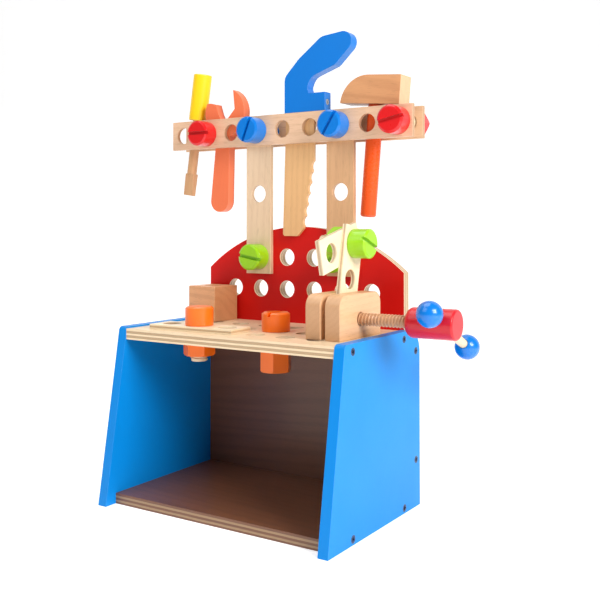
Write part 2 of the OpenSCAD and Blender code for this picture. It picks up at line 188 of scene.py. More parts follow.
class NodeTree:
    """A shader or geometry node tree with one way to add nodes."""

    def __init__(self, tree: bpy.types.NodeTree) -> None:
        """Wraps a tree.

        Args:
            tree: The tree to add nodes to.
        """
        self.tree = tree

    def node(
        self, kind: str, out: int | str = 0, inputs: dict | None = None, **settings: object
    ) -> Socket | None:
        """Adds a node.

        Args:
            kind: The node's type.
            out: The output to return.
            inputs: Input name or number to a socket, or to a constant.
            settings: Properties of the node.

        Returns:
            The asked output, or None for a node that has none.
        """
        made = self.tree.nodes.new(kind)
        for key, value in settings.items():
            setattr(made, key, value)
        for key, value in (inputs or {}).items():
            for item in value if isinstance(value, list) else [value]:
                if isinstance(item, Socket):
                    self.tree.links.new(item.out, made.inputs[key])
                else:
                    made.inputs[key].default_value = item
        outputs = made.outputs
        return Socket(self, outputs[out]) if len(outputs) else None


class Shader(NodeTree):
    """A material's tree."""

    def __init__(self, name: str) -> None:
        """Makes an empty material.

        Args:
            name: The material's name.
        """
        self.material = bpy.data.materials.new(name)
        self.material.use_nodes = True
        super().__init__(self.material.node_tree)
        self.tree.nodes.clear()
        self.place = self.node("ShaderNodeTexCoord", "Object")

    def mix(
        self, share: Socket | float, low: Socket | Triple, high: Socket | Triple, blend: str = "MIX"
    ) -> Socket:
        """Mixes two colours.

        Args:
            share: Share of the second colour.
            low: The first colour.
            high: The second colour.
            blend: The blend type.

        Returns:
            The mixed colour.
        """
        pair = [c if isinstance(c, Socket) else (*c, 1.0) for c in (low, high)]
        return self.node(
            "ShaderNodeMix",
            2,
            {0: share, 6: pair[0], 7: pair[1]},
            data_type="RGBA",
            blend_type=blend,
        )

    def noise(self, at: Socket, scale: float, detail: float = 2.0, rough: float = 0.5) -> Socket:
        """Adds a noise texture.

        Args:
            at: Where it is read.
            scale: Features per metre.
            detail: Number of finer layers.
            rough: Strength of the finer layers.

        Returns:
            Its value, about 0.5 on average.
        """
        inputs = {"Vector": at, "Scale": scale, "Detail": detail, "Roughness": rough}
        return self.node("ShaderNodeTexNoise", 0, inputs)

    def attribute(self, name: str) -> Socket:
        """Reads a number stored on the mesh.

        Args:
            name: The attribute's name.

        Returns:
            Its value.
        """
        return self.node("ShaderNodeAttribute", "Fac", attribute_name=name)

    def bump(self, height: Socket, depth: float, strength: float = 1.0) -> Socket:
        """Adds a bump.

        Args:
            height: The surface's height, 0 to 1.
            depth: Depth in metres between those.
            strength: Share of the effect.

        Returns:
            The bumped normal.
        """
        inputs = {"Height": height, "Distance": depth, "Strength": strength}
        return self.node("ShaderNodeBump", 0, inputs)

    def surface(self, **inputs: Socket | float | tuple) -> bpy.types.Material:
        """Ends the tree in a Principled shader.

        Args:
            inputs: The shader's inputs, with _ for a space.

        Returns:
            The finished material.
        """
        named = {key.replace("_", " "): value for key, value in inputs.items()}
        shader = self.node("ShaderNodeBsdfPrincipled", 0, named)
        self.node("ShaderNodeOutputMaterial", inputs={"Surface": shader})
        return self.material


# Finishes -----------------------------------------------------------------------------------------


@dataclass(frozen=True)
class Wood:
    """Clear lacquered wood with growth rings, fibres, pores and end grain."""

    name: str
    light: Triple
    dark: Triple
    grain: Triple = Axis.Z.value
    heart: Triple = (0.31, 0.27, -0.24)
    ring: float = 0.0042
    contrast: float = 0.5
    fleck: float = 0.35
    roughness: float = 0.42
    coat: float = 0.22
    ends: Triple | None = None

    def coordinates(self, shader: Shader) -> Socket:
        """Object coordinates drawn out along the grain.

        Args:
            shader: The tree to add to.

        Returns:
            The stretched coordinates.
        """
        along = shader.place.vector("DOT_PRODUCT", self.grain, 1)
        back = shader.node(
            "ShaderNodeVectorMath", 0, {0: self.grain, 3: along * -0.955}, operation="SCALE"
        )
        return shader.place.vector("ADD", back)

    def face(self, shader: Shader) -> tuple[Socket, Socket]:
        """Colour and relief of the bare wood.

        Args:
            shader: The tree to add to.

        Returns:
            Its colour, and its height from 0 to 1.
        """
        drawn = self.coordinates(shader)
        off = drawn.vector("ADD", self.heart)
        across = off.vector("LENGTH", (0.0, 0.0, 0.0), 1)
        drift = shader.noise(off, 34.0, 2.0)
        rings = ((across + drift * 0.011) * (2 * math.pi / self.ring)).sin() * 0.5 + 0.5
        late = rings.step(0.35, 1.0)
        fibre = shader.noise(drawn, 1500.0, 3.0, 0.6)
        broad = shader.noise(drawn, 70.0, 2.0)
        pores = shader.noise(off, 2300.0, 1.0).step(0.62, 0.72)
        share = late * (self.contrast * 0.42) + (fibre - 0.5) * 0.5 + (broad - 0.42) * 0.6
        colour = shader.mix(share.clamped(), self.light, self.dark)
        deep = tuple(c * 0.62 for c in self.dark)
        colour = shader.mix(pores * self.fleck, colour, deep)
        ends = shader.attribute(END)
        end_pores = shader.noise(shader.place, 2600.0, 2.0).step(0.45, 0.75)
        end_share = (ends * (0.5 + end_pores * 0.25)).clamped()
        colour = shader.mix(end_share, colour, self.ends or tuple(c * 0.72 for c in self.dark))
        return colour, fibre * 0.6 + pores * -0.5 + 0.4

    def material(self) -> bpy.types.Material:
        """Builds the material.

        Returns:
            The finished material.
        """
        shader = Shader(self.name)
        colour, height = self.face(shader)
        worn = shader.attribute(EDGE) * shader.noise(shader.place, 240.0).step(0.3, 0.7)
        colour = shader.mix(worn * 0.3, colour, tuple(c * 0.8 for c in self.dark))
        return shader.surface(
            Base_Color=colour,
            Roughness=height * 0.12 + (self.roughness - 0.06),
            Coat_Weight=self.coat,
            Coat_Roughness=0.2,
            Normal=shader.bump(height, 0.00008, 0.5),
        )


@dataclass(frozen=True)
class Ply(Wood):
    """Plywood: crossed layers that show as stripes on its cut edges."""

    through: Triple = Axis.Z.value
    start: float = 0.0
    thickness: float = 0.009
    layers: int = 5
    cross: Triple = (0.45, 0.28, 0.14)

    def face(self, shader: Shader) -> tuple[Socket, Socket]:
        """Colour and relief of the layers.

        Args:
            shader: The tree to add to.

        Returns:
            Its colour, and its height from 0 to 1.
        """
        colour, height = super().face(shader)
        depth = shader.place.vector("DOT_PRODUCT", self.through, 1)
        wave = shader.noise(shader.place, 45.0) * (0.05 * self.thickness)
        share = (depth - self.start + wave) / self.thickness
        level = share * float(self.layers)
        odd = (level.floor() % 2.0).clamped()
        inside = share.step(0.05, 0.1) * (1.0 - share.step(0.9, 0.95))
        part = level.fraction()
        glue = (part.step(0.88, 0.97) + (1.0 - part.step(0.03, 0.12))).clamped() * inside
        grit = shader.noise(shader.place, 1900.0, 3.0, 0.7)
        crossed = shader.mix(grit.step(0.3, 0.75), self.cross, tuple(c * 0.72 for c in self.cross))
        colour = shader.mix(odd * inside * 0.8, colour, crossed)
        colour = shader.mix(glue * 0.55, colour, tuple(c * 0.4 for c in self.cross))
        return colour, (height - odd * inside * grit * 0.5 - glue * 0.3).clamped()


@dataclass(frozen=True)
class Paint:
    """Sprayed paint over wood, with the grain showing a little; its corners are lighter, partly from
    thin worn paint and partly as a painted highlight.
    """

    name: str
    colour: Triple
    # Colour of the corners: partly worn paint, partly a painted highlight.
    worn: Triple
    grain: Triple = Axis.Z.value
    roughness: float = 0.3
    coat: float = 0.28
    specular: float = 0.32
    relief: float = 0.00005

    def material(self) -> bpy.types.Material:
        """Builds the material.

        Returns:
            The finished material.
        """
        shader = Shader(self.name)
        along = shader.place.vector("DOT_PRODUCT", self.grain, 1)
        back = shader.node(
            "ShaderNodeVectorMath", 0, {0: self.grain, 3: along * -0.94}, operation="SCALE"
        )
        drawn = shader.place.vector("ADD", back)
        broad = shader.noise(shader.place, 26.0, 3.0)
        fibre = shader.noise(drawn, 900.0, 3.0, 0.6)
        peel = shader.noise(shader.place, 1300.0, 2.0)
        share = ((broad - 0.4) * 0.5 + (fibre - 0.5) * 0.25).clamped()
        colour = shader.mix(share, self.colour, tuple(c * 0.72 for c in self.colour))
        edge = shader.attribute(EDGE)
        rub = shader.noise(shader.place, 420.0, 3.0, 0.7)
        # Corners mixed towards the lighter colour: the even 0.12 share on every bevel is a painted
        # highlight, the noisy share is wear.
        colour = shader.mix(edge * (0.12 + rub.step(0.45, 0.8) * 0.3), colour, self.worn)
        specks = shader.noise(shader.place, 780.0, 2.0).step(0.74, 0.8)
        colour = shader.mix(specks * 0.1, colour, tuple(c * 0.5 for c in self.colour))
        height = peel * 0.35 + fibre * 0.65
        return shader.surface(
            Base_Color=colour,
            Roughness=(broad * 0.1 + rub * 0.08 + (self.roughness - 0.09)).clamped(),
            Coat_Weight=self.coat,
            Coat_Roughness=0.12,
            Specular_IOR_Level=self.specular,
            Normal=shader.bump(height, self.relief, 0.5),
        )


@dataclass(frozen=True)
class Zinc:
    """Dark plated steel of the small screws."""

    name: str
    colour: Triple
    roughness: float = 0.34

    def material(self) -> bpy.types.Material:
        """Builds the material.

        Returns:
            The finished material.
        """
        shader = Shader(self.name)
        cloud = shader.noise(shader.place, 800.0, 4.0, 0.65)
        marks = shader.noise(shader.place, 3200.0, 2.0)
        rim = shader.attribute(EDGE)
        colour = shader.mix(cloud.step(0.3, 0.75), self.colour, tuple(c * 2.2 for c in self.colour))
        colour = shader.mix(rim * 0.5, colour, (0.42, 0.44, 0.48))
        return shader.surface(
            Base_Color=colour,
            Metallic=0.9,
            Roughness=cloud * 0.3 + (self.roughness - 0.12),
            Normal=shader.bump(marks, 0.00003, 0.5),
        )


Finish = Wood | Paint | Zinc

PALE_LIGHT: Triple = (0.84, 0.66, 0.43)
PALE_DARK: Triple = (0.66, 0.45, 0.25)
SKY: Triple = (0.0, 0.235, 0.7)
ROYAL: Triple = (0.0, 0.175, 0.62)
RED: Triple = (0.68, 0.008, 0.01)
BOARD_RED: Triple = (0.64, 0.006, 0.004)
GREEN: Triple = (0.3, 0.62, 0.008)
ORANGE: Triple = (0.95, 0.17, 0.008)
SALMON: Triple = (0.86, 0.19, 0.075)
YELLOW: Triple = (0.95, 0.62, 0.008)


def highlight_and_wear_tint(colour: Triple, share: float = 0.3) -> Triple:
    """A colour mixed with white for a painted corner: thin worn paint together with a painted
    highlight.

    Args:
        colour: The paint's colour.
        share: Share of white.

    Returns:
        The lighter colour.
    """
    return tuple(c + (0.9 - c) * share for c in colour)


def paint(name: str, colour: Triple, **sizes: object) -> Paint:
    """A paint whose corners are a little lighter, as wear and as a painted highlight.

    Args:
        name: The material's name.
        colour: The paint's colour.
        sizes: Other fields of the finish.

    Returns:
        The finish.
    """
    return Paint(name, colour, highlight_and_wear_tint(colour), **sizes)


class Materials:
    """Builds each finish once."""

    def __init__(self) -> None:
        """Starts with no materials."""
        self.built: dict[str, bpy.types.Material] = {}

    def get(self, finish: Finish) -> bpy.types.Material:
        """The finish's material.

        Args:
            finish: The finish to build.

        Returns:
            Its material.
        """
        if finish.name not in self.built:
            self.built[finish.name] = finish.material()
        return self.built[finish.name]


MATERIALS = Materials()


# Meshes -------------------------------------------------------------------------------------------


def linked(name: str, mesh: bpy.types.Mesh) -> bpy.types.Object:
    """Puts a mesh into the scene.

    Args:
        name: The object's name.
        mesh: Its mesh.

    Returns:
        The new object.
    """
    made = bpy.data.objects.new(name, mesh)
    bpy.context.scene.collection.objects.link(made)
    return made


def evaluated(source: bpy.types.Object) -> bpy.types.Mesh:
    """Mesh of an object with its modifiers, after which the object is removed.

    Args:
        source: The object to turn into a mesh.

    Returns:
        The plain mesh.
    """
    graph = bpy.context.evaluated_depsgraph_get()
    mesh = bpy.data.meshes.new_from_object(source.evaluated_get(graph), depsgraph=graph)
    old = source.data
    bpy.data.objects.remove(source)
    if old.users == 0:
        bpy.data.meshes.remove(old)
    return mesh


def rounded(shape: bmesh.types.BMesh, width: float, segments: int, angle: float) -> None:
    """Rounds the edges that are sharper than an angle.

    Args:
        shape: The shape to change.
        width: Width of the rounding.
        segments: Faces across it.
        angle: Least angle between the faces, in degrees.
    """
    least = math.radians(angle)
    sharp = [
        e for e in shape.edges if len(e.link_faces) == 2 and e.calc_face_angle(0.0) > least
    ]
    mark = shape.faces.layers.float.get(EDGE) or shape.faces.layers.float.new(EDGE)
    made = bmesh.ops.bevel(
        shape,
        geom=sharp,
        offset=width,
        offset_type="OFFSET",
        segments=segments,
        profile=0.5,
        affect="EDGES",
        clamp_overlap=True,
    )
    for face in made["faces"]:
        face[mark] = 1.0


def eased_copy(node: str, width: float, segments: int = 2, angle: float = 26.0) -> bpy.types.Mesh:
    """A CAD node's shape with its edges eased.

    Args:
        node: Name of the node.
        width: Width of the rounding.
        segments: Faces across it.
        angle: Least angle of an edge that is eased, in degrees.

    Returns:
        The new mesh.
    """
    shape = bmesh.new()
    shape.from_mesh(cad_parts[node].data)
    bmesh.ops.remove_doubles(shape, verts=shape.verts, dist=3e-6)
    bmesh.ops.dissolve_limit(
        shape, angle_limit=math.radians(0.5), verts=shape.verts, edges=shape.edges
    )
    rounded(shape, width, segments, angle)
    bmesh.ops.recalc_face_normals(shape, faces=shape.faces)
    mesh = bpy.data.meshes.new(node)
    shape.to_mesh(mesh)
    shape.free()
    return mesh


def lathed(outline: Sequence[tuple[float, float]], segments: int = 72) -> bpy.types.Mesh:
    """Turns an outline about Z.

    Args:
        outline: Radius and height of each point, from the bottom pole to the top one.
        segments: Faces around.

    Returns:
        The turned mesh.
    """
    shape = bmesh.new()
    rings = []
    for radius, height in outline:
        if radius < 1e-9:
            rings.append([shape.verts.new((0.0, 0.0, height))])
            continue
        turns = (2 * math.pi * k / segments for k in range(segments))
        rings.append(
            [shape.verts.new((radius * math.cos(a), radius * math.sin(a), height)) for a in turns]
        )
    for low, high in zip(rings, rings[1:]):
        for k in range(segments):
            corners = [
                low[k % len(low)],
                low[(k + 1) % len(low)],
                high[(k + 1) % len(high)],
                high[k % len(high)],
            ]
            shape.faces.new(list(dict.fromkeys(corners)))
    bmesh.ops.recalc_face_normals(shape, faces=shape.faces)
    mesh = bpy.data.meshes.new("lathed")
    shape.to_mesh(mesh)
    shape.free()
    return mesh


def arc(
    centre: tuple[float, float], radius: float, start: float, end: float, steps: int = 6
) -> list[tuple[float, float]]:
    """Points of an arc for an outline.

    Args:
        centre: Its centre.
        radius: Its radius.
        start: Its first angle in degrees.
        end: Its last angle in degrees.
        steps: Number of chords.

    Returns:
        The points in order.
    """
    angles = (math.radians(start + (end - start) * k / steps) for k in range(steps + 1))
    return [(centre[0] + radius * math.cos(a), centre[1] + radius * math.sin(a)) for a in angles]


def cut_away(body: bpy.types.Mesh, cutter: bpy.types.Mesh, ease: float) -> bpy.types.Mesh:
    """Takes one mesh out of another and eases the new edges.

    Args:
        body: The mesh to cut.
        cutter: The mesh to take away.
        ease: Width of the rounding on the cut's edges.

    Returns:
        The cut mesh.
    """
    holder = linked("cut_body", body)
    knife = linked("cutter", cutter)
    step = holder.modifiers.new("cut", "BOOLEAN")
    step.operation = "DIFFERENCE"
    step.solver = "EXACT"
    step.object = knife
    bpy.context.view_layer.update()
    mesh = evaluated(holder)
    bpy.data.objects.remove(knife)
    shape = bmesh.new()
    shape.from_mesh(mesh)
    bmesh.ops.remove_doubles(shape, verts=shape.verts, dist=1e-6)
    rounded(shape, ease, 2, 55.0)
    shape.to_mesh(mesh)
    shape.free()
    return mesh


def box_mesh(low: Triple, high: Triple) -> bpy.types.Mesh:
    """A plain box, used as a cutter.

    Args:
        low: Lowest corner.
        high: Highest corner.

    Returns:
        The box.
    """
    shape = bmesh.new()
    bmesh.ops.create_cube(shape, size=1.0)
    size = Vector(high) - Vector(low)
    middle = (Vector(high) + Vector(low)) / 2
    shape.transform(Matrix.Translation(middle) @ Matrix.Diagonal((*size, 1.0)))
    mesh = bpy.data.meshes.new("box")
    shape.to_mesh(mesh)
    shape.free()
    return mesh


def note_grain(mesh: bpy.types.Mesh, grain: Triple) -> None:
    """Stores how squarely each face cuts the grain.

    Args:
        mesh: The mesh to mark.
        grain: Direction of the grain.
    """
    way = Vector(grain)
    values = []
    for face in mesh.polygons:
        values += [abs(face.normal.dot(way)) ** 2] * face.loop_total
    mesh.attributes.new(END, "FLOAT", "CORNER").data.foreach_set("value", values)
    if EDGE not in mesh.attributes:
        mesh.attributes.new(EDGE, "FLOAT", "FACE")


def shaded(name: str, mesh: bpy.types.Mesh, sharp: float = 38.0) -> bpy.types.Object:
    """Shades a mesh smooth, with flat faces kept flat.

    Args:
        name: The object's name.
        mesh: The mesh to shade.
        sharp: Angle above which an edge stays sharp, in degrees.

    Returns:
        The new object.
    """
    mesh.polygons.foreach_set("use_smooth", [True] * len(mesh.polygons))
    mesh.set_sharp_from_angle(angle=math.radians(sharp))
    holder = linked("shading", mesh)
    step = holder.modifiers.new("weights", "WEIGHTED_NORMAL")
    step.keep_sharp = True
    bpy.context.view_layer.update()
    final = evaluated(holder)
    final.name = name
    return linked(name, final)


@dataclass(frozen=True)
class Place:
    """Where a piece made about its own origin goes: turned about X, Y and Z, then moved."""

    origin: Triple
    turn: Triple = (0.0, 0.0, 0.0)
    spin: float = 0.0

    def matrix(self) -> Matrix:
        """The place as a matrix.

        Returns:
            The matrix, in metres.
        """
        x, y, z = (math.radians(a) for a in self.turn)
        turned = Matrix.Rotation(z, 4, "Z") @ Matrix.Rotation(y, 4, "Y") @ Matrix.Rotation(x, 4, "X")
        spun = Matrix.Rotation(math.radians(self.spin), 4, "Z")
        return Matrix.Translation(Vector(self.origin) * MM) @ turned @ spun


def add_piece(
    name: str,
    mesh: bpy.types.Mesh,
    finishes: Iterable[Finish],
    body: str,
    nodes: Sequence[str] = (),
    place: Place | None = None,
) -> bpy.types.Object:
    """Finishes a piece and lets it ride on its body.

    Args:
        name: The piece's name.
        mesh: Its mesh.
        finishes: Its finishes, one for each material number of its faces.
        body: The CAD body that it moves with.
        nodes: CAD nodes that it stands for.
        place: Where it goes, if it was made about its own origin.

    Returns:
        The piece.
    """
    if place is not None:
        mesh.transform(place.matrix())
    finishes = list(finishes)
    note_grain(mesh, getattr(finishes[0], "grain", Axis.Z.value))
    numbers = [face.material_index for face in mesh.polygons]
    mesh.materials.clear()
    for finish in finishes:
        mesh.materials.append(MATERIALS.get(finish))
    mesh.polygons.foreach_set("material_index", numbers)
    piece = shaded(name, mesh)
    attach(piece, body)
    if nodes:
        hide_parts(*nodes)
    log.info("%s: %d faces on %s", name, len(piece.data.polygons), body)
    return piece


# Repeated shapes ----------------------------------------------------------------------------------


class ShapeTree(NodeTree):
    """A geometry node tree with named inputs that ends in Realize Instances and Set Material."""

    def __init__(self, name: str, inputs: dict[str, float | int]) -> None:
        """Starts a tree.

        Args:
            name: The tree's name.
            inputs: Name and value of each number that it takes.
        """
        super().__init__(bpy.data.node_groups.new(name, "GeometryNodeTree"))
        self.values = inputs
        face = self.tree.interface
        face.new_socket("Geometry", in_out="OUTPUT", socket_type="NodeSocketGeometry")
        face.new_socket("Geometry", in_out="INPUT", socket_type="NodeSocketGeometry")
        for key, value in inputs.items():
            kind = "NodeSocketInt" if isinstance(value, int) else "NodeSocketFloat"
            face.new_socket(key, in_out="INPUT", socket_type=kind)
        face.new_socket("Material", in_out="INPUT", socket_type="NodeSocketMaterial")
        self.source = self.tree.nodes.new("NodeGroupInput")

    def given(self, name: str) -> Socket:
        """One of the tree's inputs.

        Args:
            name: The input's name.

        Returns:
            Its socket.
        """
        return Socket(self, self.source.outputs[name])

    def end(self, shape: Socket) -> None:
        """Closes the tree.

        Args:
            shape: The geometry to give out.
        """
        real = self.node("GeometryNodeRealizeInstances", inputs={0: shape})
        coated = self.node(
            "GeometryNodeSetMaterial", inputs={"Geometry": real, "Material": self.given("Material")}
        )
        self.node("NodeGroupOutput", inputs={0: coated})

    def mesh(self, finish: Finish, start: bpy.types.Mesh | None = None) -> bpy.types.Mesh:
        """Runs the tree.

        Args:
            finish: Finish of the shape.
            start: The mesh that the tree works on.

        Returns:
            The plain mesh.
        """
        holder = linked("shape", start or bpy.data.meshes.new("empty"))
        step = holder.modifiers.new("shape", "NODES")
        step.node_group = self.tree
        values = {**self.values, "Material": MATERIALS.get(finish)}
        for item in self.tree.interface.items_tree:
            if item.in_out == "INPUT" and item.name in values:
                step[item.identifier] = values[item.name]
        bpy.context.view_layer.update()
        return evaluated(holder)


def thread_tree(radius: float, rib: float, pitch: float, length: float) -> ShapeTree:
    """A turned wooden thread on a plain core, from z = 0 up.

    Args:
        radius: Radius at the crest.
        rib: Half the thread's height.
        pitch: Rise in one turn.
        length: Length along Z.

    Returns:
        The tree.
    """
    made = ShapeTree(
        "wood_thread",
        {"Radius": radius, "Rib": rib, "Pitch": pitch, "Length": length, "Steps": 40},
    )
    rib_in, whole = made.given("Rib"), made.given("Length")
    middle = made.given("Radius") - rib_in
    run = whole - rib_in * 4.0
    spiral = made.node(
        "GeometryNodeCurveSpiral",
        inputs={
            "Resolution": made.given("Steps"),
            "Rotations": run / made.given("Pitch"),
            "Start Radius": middle,
            "End Radius": middle,
            "Height": run,
        },
    )
    round_rib = made.node(
        "GeometryNodeCurvePrimitiveCircle", inputs={"Resolution": 8, "Radius": rib_in}
    )
    rib_mesh = made.node(
        "GeometryNodeCurveToMesh",
        inputs={"Curve": spiral, "Profile Curve": round_rib, "Fill Caps": True},
    )
    lift = made.node("ShaderNodeCombineXYZ", inputs={2: rib_in * 2.0})
    lifted = made.node(
        "GeometryNodeTransform", inputs={"Geometry": rib_mesh, "Translation": lift}
    )
    core = made.node(
        "GeometryNodeMeshCylinder",
        inputs={
            "Vertices": 48,
            "Side Segments": 1,
            "Radius": middle - rib_in * 0.35,
            "Depth": whole,
        },
    )
    half = made.node("ShaderNodeCombineXYZ", inputs={2: whole * 0.5})
    stood = made.node("GeometryNodeTransform", inputs={"Geometry": core, "Translation": half})
    made.end(made.node("GeometryNodeJoinGeometry", inputs={0: [lifted, stood]}))
    return made


def screw_head_tree(radius: float, height: float, recess: float) -> ShapeTree:
    """Countersunk screw heads with a cross recess, one on each vertex of the start mesh.

    Args:
        radius: Radius of the head.
        height: Height of the head.
        recess: Width of the recess.

    Returns:
        The tree.
    """
    made = ShapeTree("screw_heads", {"Radius": radius, "Height": height, "Recess": recess})
    wide, tall, slim = made.given("Radius"), made.given("Height"), made.given("Recess")
    head = made.node(
        "GeometryNodeMeshCone",
        inputs={
            "Vertices": 32,
            "Radius Top": wide,
            "Radius Bottom": wide * 0.6,
            "Depth": tall,
        },
    )
    sunk = made.node("ShaderNodeCombineXYZ", inputs={2: tall * -1.0})
    head = made.node("GeometryNodeTransform", inputs={"Geometry": head, "Translation": sunk})
    bars = []
    for along in (0, 1):
        size = made.node(
            "ShaderNodeCombineXYZ", inputs={along: wide * 1.15, 1 - along: slim, 2: tall * 1.2}
        )
        bars.append(made.node("GeometryNodeMeshCube", inputs={"Size": size}))
    cut = made.node(
        "GeometryNodeMeshBoolean",
        inputs={0: head, 1: bars},
        operation="DIFFERENCE",
        solver="EXACT",
    )
    placed = made.node(
        "GeometryNodeInstanceOnPoints", inputs={"Points": made.given("Geometry"), "Instance": cut}
    )
    made.end(placed)
    return made


# The workbench ------------------------------------------------------------------------------------


@dataclass
class Stand:
    """Side panels, table, boards and the small screws that hold them."""

    body: str = "stand"
    ease: float = 0.9 * MM
    table_top: float = 150.0 * MM
    table_t: float = 9.5 * MM
    board_t: float = 9.0 * MM
    side_x: float = 115.5
    screw_r: float = 3.15 * MM
    screw_h: float = 1.8 * MM
    recess: float = 1.0 * MM
    spots: tuple[tuple[float, float], ...] = (
        (-105.0, 145.25),
        (-18.0, 145.25),
        (4.5, 133.0),
        (4.5, 40.0),
        (-105.0, 4.5),
        (-18.0, 4.5),
    )

    def panels(self) -> None:
        """Builds the two painted side panels."""
        for side in ("left", "right"):
            node = f"{side}_panel"
            blue = paint("sky_blue_paint", SKY, roughness=0.42, coat=0.06, specular=0.2)
            mesh = eased_copy(node, self.ease, 3)
            add_piece(node + "_board", mesh, [blue], self.body, [node])

    def table(self) -> None:
        """Builds the table top with its plies."""
        finish = Ply(
            "table_plywood",
            PALE_LIGHT,
            (0.8, 0.5, 0.3),
            Axis.X.value,
            contrast=0.35,
            through=Axis.Z.value,
            start=self.table_top - self.table_t,
            thickness=self.table_t,
            layers=5,
        )
        mesh = eased_copy("table_top", 0.45 * MM)
        add_piece("table_board", mesh, [finish], self.body, ["table_top"])

    def backboard(self) -> None:
        """Builds the arched board: painted faces, bare plies on its edges and in its holes."""
        red = paint(
            "board_red_paint",
            BOARD_RED,
            grain=Axis.X.value,
            roughness=0.45,
            coat=0.05,
            specular=0.18,
        )
        plies = Ply(
            "board_edge_plies",
            PALE_LIGHT,
            PALE_DARK,
            Axis.X.value,
            through=Axis.Y.value,
            start=0.0,
            thickness=self.board_t,
            layers=5,
        )
        mesh = eased_copy("backboard", 0.55 * MM)
        mesh.polygons.foreach_set(
            "material_index", [0 if abs(f.normal.y) > 0.93 else 1 for f in mesh.polygons]
        )
        add_piece(
            "arched_board", mesh, [red, plies], self.body, ["backboard"]
        )

    def lower_boards(self) -> None:
        """Builds the back and bottom boards: bare plywood coloured very dark brown as painted shade
        under the table.
        """
        sizes = {"back_panel": (Axis.Y, Axis.X), "base_board": (Axis.Z, Axis.X)}
        for node, (through, grain) in sizes.items():
            finish = Ply(
                node + "_plywood",
                # Very dark brown tones: painted shade of the space under the table, darker than the
                # plywood itself.
                (0.19, 0.072, 0.032),
                (0.1, 0.036, 0.017),
                grain.value,
                through=through.value,
                thickness=self.board_t,
                layers=5,
            )
            mesh = eased_copy(node, 0.5 * MM)
            add_piece(node + "_sheet", mesh, [finish], self.body, [node])

    def screws(self) -> None:
        """Builds the heads of the panels' screws."""
        finish = Zinc("dark_zinc", (0.045, 0.065, 0.12))
        tree = screw_head_tree(self.screw_r, self.screw_h, self.recess)
        for side, sign in (("left", -1), ("right", 1)):
            points = bpy.data.meshes.new("screw_spots")
            points.from_pydata([(0.0, 0.0, 0.0)], [], [])
            one = tree.mesh(finish, points)
            whole = bmesh.new()
            for number, (y, z) in enumerate(self.spots):
                copy = one.copy()
                place = Place((sign * self.side_x, y, z), (0.0, 90.0 * sign, 0.0), 25.0 + 31 * number)
                copy.transform(place.matrix())
                whole.from_mesh(copy)
                bpy.data.meshes.remove(copy)
            mesh = bpy.data.meshes.new("screws")
            whole.to_mesh(mesh)
            whole.free()
            nodes = ["panel_screws"] if side == "left" else []
            add_piece(f"{side}_panel_screws", mesh, [finish], self.body, nodes)

    def build(self) -> None:
        """Builds the stand."""
        self.panels()
        self.table()
        self.backboard()
        self.lower_boards()
        self.screws()


@dataclass
class Rack:
    """Two uprights and two drilled strips that hold the tools."""

    body: str = "stand"
    ease: float = 0.5 * MM
    strip_t: float = 4.2 * MM
    starts: dict[str, float] = field(
        default_factory=lambda: {
            "front_strip": -8.4 * MM,
            "rear_strip": 12.0 * MM,
            "left_upright": -4.2 * MM,
            "right_upright": -4.2 * MM,
        }
    )
    tones: dict[str, tuple[Triple, Triple]] = field(
        default_factory=lambda: {
            "front_strip": ((0.78, 0.51, 0.33), (0.58, 0.33, 0.18)),
            "rear_strip": ((0.76, 0.5, 0.31), (0.56, 0.32, 0.17)),
            "left_upright": ((0.78, 0.57, 0.38), (0.62, 0.4, 0.23)),
            "right_upright": ((0.68, 0.39, 0.2), (0.5, 0.26, 0.12)),
        }
    )

    def build(self) -> None:
        """Builds the rack."""
        for number, (node, start) in enumerate(self.starts.items()):
            light, dark = self.tones[node]
            grain = Axis.X if node.endswith("strip") else Axis.Z
            finish = Ply(
                node + "_beech",
                light,
                dark,
                grain.value,
                heart=(0.21 + 0.07 * number, 0.33, -0.14 * number),
                contrast=0.4,
                through=Axis.Y.value,
                start=start,
                thickness=self.strip_t,
                layers=3,
                cross=(0.5, 0.3, 0.16),
            )
            mesh = eased_copy(node, self.ease)
            add_piece(node + "_slat", mesh, [finish], self.body, [node])


@dataclass(frozen=True)
class BoltSpec:
    """One toy bolt and its nut."""

    bolt: str
    nut: str
    body: str
    place: Place
    length: float
    finish: Paint
    slot: str


